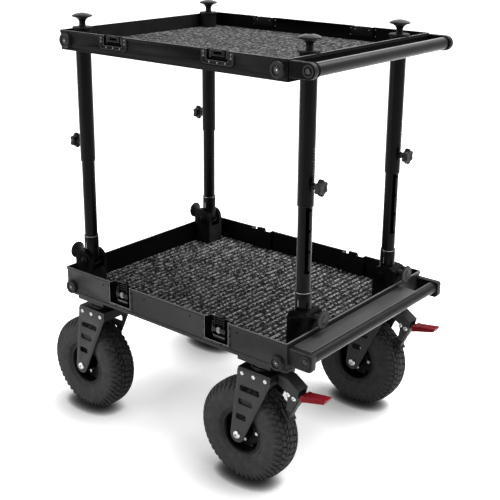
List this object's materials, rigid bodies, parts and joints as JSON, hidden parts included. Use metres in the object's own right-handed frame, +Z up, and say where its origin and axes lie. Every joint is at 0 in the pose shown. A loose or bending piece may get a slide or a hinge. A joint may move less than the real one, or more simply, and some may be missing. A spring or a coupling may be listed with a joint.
{
  "type": "folding equipment cart",
  "caption": "Two-tray folding equipment cart on braked pneumatic swivel casters, with telescopic posts that fold down and a push handle.",
  "frame": {"origin": "on the floor under the middle of the cart, the middle of its overall box's bottom face", "axes": "+X towards the push handle and bumper, -Y the left side of whoever pushes the cart, +Z up"},
  "size_m": [0.9078, 0.607, 1.073],
  "materials": {
    "tray": "satin",
    "mat": "matte",
    "tube": "satin",
    "handle": "satin",
    "fork": "matte",
    "steel": "satin",
    "rim": "satin",
    "rubber": "matte",
    "knob": "matte",
    "pedal": "satin"
  },
  "bodies": {
    "base": {"lower_tray": "tray", "lower_mat": "mat", "bumper_bar": "tray", "bumper_shelf": "tray", "post_socket_rear_left": "tube", "post_socket_rear_right": "tube", "post_socket_front_left": "tube", "post_socket_front_right": "tube"},
    "top_tray": {"top_tray": "tray", "top_mat": "mat", "push_handle": "handle", "handle_bracket_left": "tray", "handle_bracket_right": "tray"},
    "caster_rear_left": {"caster_fork_rear_left": "fork", "caster_axle_rear_left": "steel", "brake_bracket_rear_left": "fork"},
    "wheel_rear_left": {"wheel_rim_rear_left": "rim", "wheel_tyre_rear_left": "rubber"},
    "brake_rear_left": {"brake_lever_rear_left": "steel", "brake_pedal_rear_left": "pedal"},
    "post_lower_rear_left": {"post_lower_rear_left": "tube"},
    "post_upper_rear_left": {"post_upper_rear_left": "tube"},
    "star_knob_rear_left": {"star_knob_rear_left": "knob"},
    "lock_knob_rear_left": {"lock_knob_rear_left": "knob"},
    "tray_knob_rear_left": {"tray_knob_rear_left": "knob"},
    "latch_wing_rear_left": {"latch_wing_rear_left": "steel"},
    "caster_rear_right": {"caster_fork_rear_right": "fork", "caster_axle_rear_right": "steel", "brake_bracket_rear_right": "fork"},
    "wheel_rear_right": {"wheel_rim_rear_right": "rim", "wheel_tyre_rear_right": "rubber"},
    "brake_rear_right": {"brake_lever_rear_right": "steel", "brake_pedal_rear_right": "pedal"},
    "post_lower_rear_right": {"post_lower_rear_right": "tube"},
    "post_upper_rear_right": {"post_upper_rear_right": "tube"},
    "star_knob_rear_right": {"star_knob_rear_right": "knob"},
    "lock_knob_rear_right": {"lock_knob_rear_right": "knob"},
    "tray_knob_rear_right": {"tray_knob_rear_right": "knob"},
    "latch_wing_rear_right": {"latch_wing_rear_right": "steel"},
    "caster_front_left": {"caster_fork_front_left": "fork", "caster_axle_front_left": "steel"},
    "wheel_front_left": {"wheel_rim_front_left": "rim", "wheel_tyre_front_left": "rubber"},
    "post_lower_front_left": {"post_lower_front_left": "tube"},
    "post_upper_front_left": {"post_upper_front_left": "tube"},
    "star_knob_front_left": {"star_knob_front_left": "knob"},
    "lock_knob_front_left": {"lock_knob_front_left": "knob"},
    "tray_knob_front_left": {"tray_knob_front_left": "knob"},
    "latch_wing_front_left": {"latch_wing_front_left": "steel"},
    "caster_front_right": {"caster_fork_front_right": "fork", "caster_axle_front_right": "steel"},
    "wheel_front_right": {"wheel_rim_front_right": "rim", "wheel_tyre_front_right": "rubber"},
    "post_lower_front_right": {"post_lower_front_right": "tube"},
    "post_upper_front_right": {"post_upper_front_right": "tube"},
    "star_knob_front_right": {"star_knob_front_right": "knob"},
    "lock_knob_front_right": {"lock_knob_front_right": "knob"},
    "tray_knob_front_right": {"tray_knob_front_right": "knob"},
    "latch_wing_front_right": {"latch_wing_front_right": "steel"}
  },
  "joints": [
    {"name": "tray_height", "type": "slide", "parent": "base", "child": "top_tray", "axis": [0, 0, 1], "range_m": [-0.196, 0]},
    {"name": "caster_swivel_rear_left", "type": "hinge", "parent": "base", "child": "caster_rear_left", "pos_m": [0.276, -0.247, 0.30889], "axis": [0, 0, 1], "continuous": true},
    {"name": "wheel_spin_rear_left", "type": "hinge", "parent": "caster_rear_left", "child": "wheel_rear_left", "pos_m": [0.227, -0.247, 0.12889], "axis": [0, 1, 0], "continuous": true},
    {"name": "brake_rear_left", "type": "hinge", "parent": "caster_rear_left", "child": "brake_rear_left", "pos_m": [0.37, -0.247, 0.26189], "axis": [0, 1, 0], "range_deg": [0, 7]},
    {"name": "post_fold_rear_left", "type": "hinge", "parent": "base", "child": "post_lower_rear_left", "pos_m": [0.33, -0.184, 0.42419], "axis": [0, -1, 0], "range_deg": [0, 90]},
    {"name": "post_slide_rear_left", "type": "slide", "parent": "post_lower_rear_left", "child": "post_upper_rear_left", "axis": [0, 0, 1], "range_m": [-0.196, 0]},
    {"name": "star_knob_rear_left", "type": "hinge", "parent": "post_upper_rear_left", "child": "star_knob_rear_left", "pos_m": [0.368, -0.184, 0.74219], "axis": [1, 0, 0], "continuous": true},
    {"name": "lock_knob_rear_left", "type": "hinge", "parent": "base", "child": "lock_knob_rear_left", "pos_m": [0.38, -0.184, 0.43419], "axis": [1, 0, 0], "continuous": true},
    {"name": "tray_knob_rear_left", "type": "hinge", "parent": "top_tray", "child": "tray_knob_rear_left", "pos_m": [0.33, -0.184, 1.05919], "axis": [0, 0, 1], "continuous": true},
    {"name": "latch_wing_rear_left", "type": "hinge", "parent": "base", "child": "latch_wing_rear_left", "pos_m": [0.163, -0.283, 0.37719], "axis": [0, 1, 0], "range_deg": [0, 180]},
    {"name": "caster_swivel_rear_right", "type": "hinge", "parent": "base", "child": "caster_rear_right", "pos_m": [0.276, 0.247, 0.30889], "axis": [0, 0, 1], "continuous": true},
    {"name": "wheel_spin_rear_right", "type": "hinge", "parent": "caster_rear_right", "child": "wheel_rear_right", "pos_m": [0.227, 0.247, 0.12889], "axis": [0, 1, 0], "continuous": true},
    {"name": "brake_rear_right", "type": "hinge", "parent": "caster_rear_right", "child": "brake_rear_right", "pos_m": [0.37, 0.247, 0.26189], "axis": [0, 1, 0], "range_deg": [0, 7]},
    {"name": "post_fold_rear_right", "type": "hinge", "parent": "base", "child": "post_lower_rear_right", "pos_m": [0.33, 0.184, 0.42419], "axis": [0, -1, 0], "range_deg": [0, 90]},
    {"name": "post_slide_rear_right", "type": "slide", "parent": "post_lower_rear_right", "child": "post_upper_rear_right", "axis": [0, 0, 1], "range_m": [-0.196, 0]},
    {"name": "star_knob_rear_right", "type": "hinge", "parent": "post_upper_rear_right", "child": "star_knob_rear_right", "pos_m": [0.368, 0.184, 0.74219], "axis": [1, 0, 0], "continuous": true},
    {"name": "lock_knob_rear_right", "type": "hinge", "parent": "base", "child": "lock_knob_rear_right", "pos_m": [0.38, 0.184, 0.43419], "axis": [1, 0, 0], "continuous": true},
    {"name": "tray_knob_rear_right", "type": "hinge", "parent": "top_tray", "child": "tray_knob_rear_right", "pos_m": [0.33, 0.184, 1.05919], "axis": [0, 0, 1], "continuous": true},
    {"name": "latch_wing_rear_right", "type": "hinge", "parent": "base", "child": "latch_wing_rear_right", "pos_m": [0.163, 0.283, 0.37719], "axis": [0, 1, 0], "range_deg": [0, 180]},
    {"name": "caster_swivel_front_left", "type": "hinge", "parent": "base", "child": "caster_front_left", "pos_m": [-0.276, -0.247, 0.30889], "axis": [0, 0, 1], "continuous": true},
    {"name": "wheel_spin_front_left", "type": "hinge", "parent": "caster_front_left", "child": "wheel_front_left", "pos_m": [-0.325, -0.247, 0.12889], "axis": [0, 1, 0], "continuous": true},
    {"name": "post_fold_front_left", "type": "hinge", "parent": "base", "child": "post_lower_front_left", "pos_m": [-0.33, -0.236, 0.42419], "axis": [0, 1, 0], "range_deg": [0, 90]},
    {"name": "post_slide_front_left", "type": "slide", "parent": "post_lower_front_left", "child": "post_upper_front_left", "axis": [0, 0, 1], "range_m": [-0.196, 0]},
    {"name": "star_knob_front_left", "type": "hinge", "parent": "post_upper_front_left", "child": "star_knob_front_left", "pos_m": [-0.368, -0.236, 0.74219], "axis": [-1, 0, 0], "continuous": true},
    {"name": "lock_knob_front_left", "type": "hinge", "parent": "base", "child": "lock_knob_front_left", "pos_m": [-0.38, -0.236, 0.43419], "axis": [-1, 0, 0], "continuous": true},
    {"name": "tray_knob_front_left", "type": "hinge", "parent": "top_tray", "child": "tray_knob_front_left", "pos_m": [-0.33, -0.236, 1.05919], "axis": [0, 0, 1], "continuous": true},
    {"name": "latch_wing_front_left", "type": "hinge", "parent": "base", "child": "latch_wing_front_left", "pos_m": [-0.163, -0.283, 0.37719], "axis": [0, 1, 0], "range_deg": [0, 180]},
    {"name": "caster_swivel_front_right", "type": "hinge", "parent": "base", "child": "caster_front_right", "pos_m": [-0.276, 0.247, 0.30889], "axis": [0, 0, 1], "continuous": true},
    {"name": "wheel_spin_front_right", "type": "hinge", "parent": "caster_front_right", "child": "wheel_front_right", "pos_m": [-0.325, 0.247, 0.12889], "axis": [0, 1, 0], "continuous": true},
    {"name": "post_fold_front_right", "type": "hinge", "parent": "base", "child": "post_lower_front_right", "pos_m": [-0.33, 0.236, 0.42419], "axis": [0, 1, 0], "range_deg": [0, 90]},
    {"name": "post_slide_front_right", "type": "slide", "parent": "post_lower_front_right", "child": "post_upper_front_right", "axis": [0, 0, 1], "range_m": [-0.196, 0]},
    {"name": "star_knob_front_right", "type": "hinge", "parent": "post_upper_front_right", "child": "star_knob_front_right", "pos_m": [-0.368, 0.236, 0.74219], "axis": [-1, 0, 0], "continuous": true},
    {"name": "lock_knob_front_right", "type": "hinge", "parent": "base", "child": "lock_knob_front_right", "pos_m": [-0.38, 0.236, 0.43419], "axis": [-1, 0, 0], "continuous": true},
    {"name": "tray_knob_front_right", "type": "hinge", "parent": "top_tray", "child": "tray_knob_front_right", "pos_m": [-0.33, 0.236, 1.05919], "axis": [0, 0, 1], "continuous": true},
    {"name": "latch_wing_front_right", "type": "hinge", "parent": "base", "child": "latch_wing_front_right", "pos_m": [-0.163, 0.283, 0.37719], "axis": [0, 1, 0], "range_deg": [0, 180]}
  ],
  "couplings": [
    {"joint": "post_slide_rear_left", "follows": "tray_height", "ratio": 1},
    {"joint": "post_slide_rear_right", "follows": "tray_height", "ratio": 1},
    {"joint": "post_slide_front_left", "follows": "tray_height", "ratio": 1},
    {"joint": "post_slide_front_right", "follows": "tray_height", "ratio": 1}
  ]
}
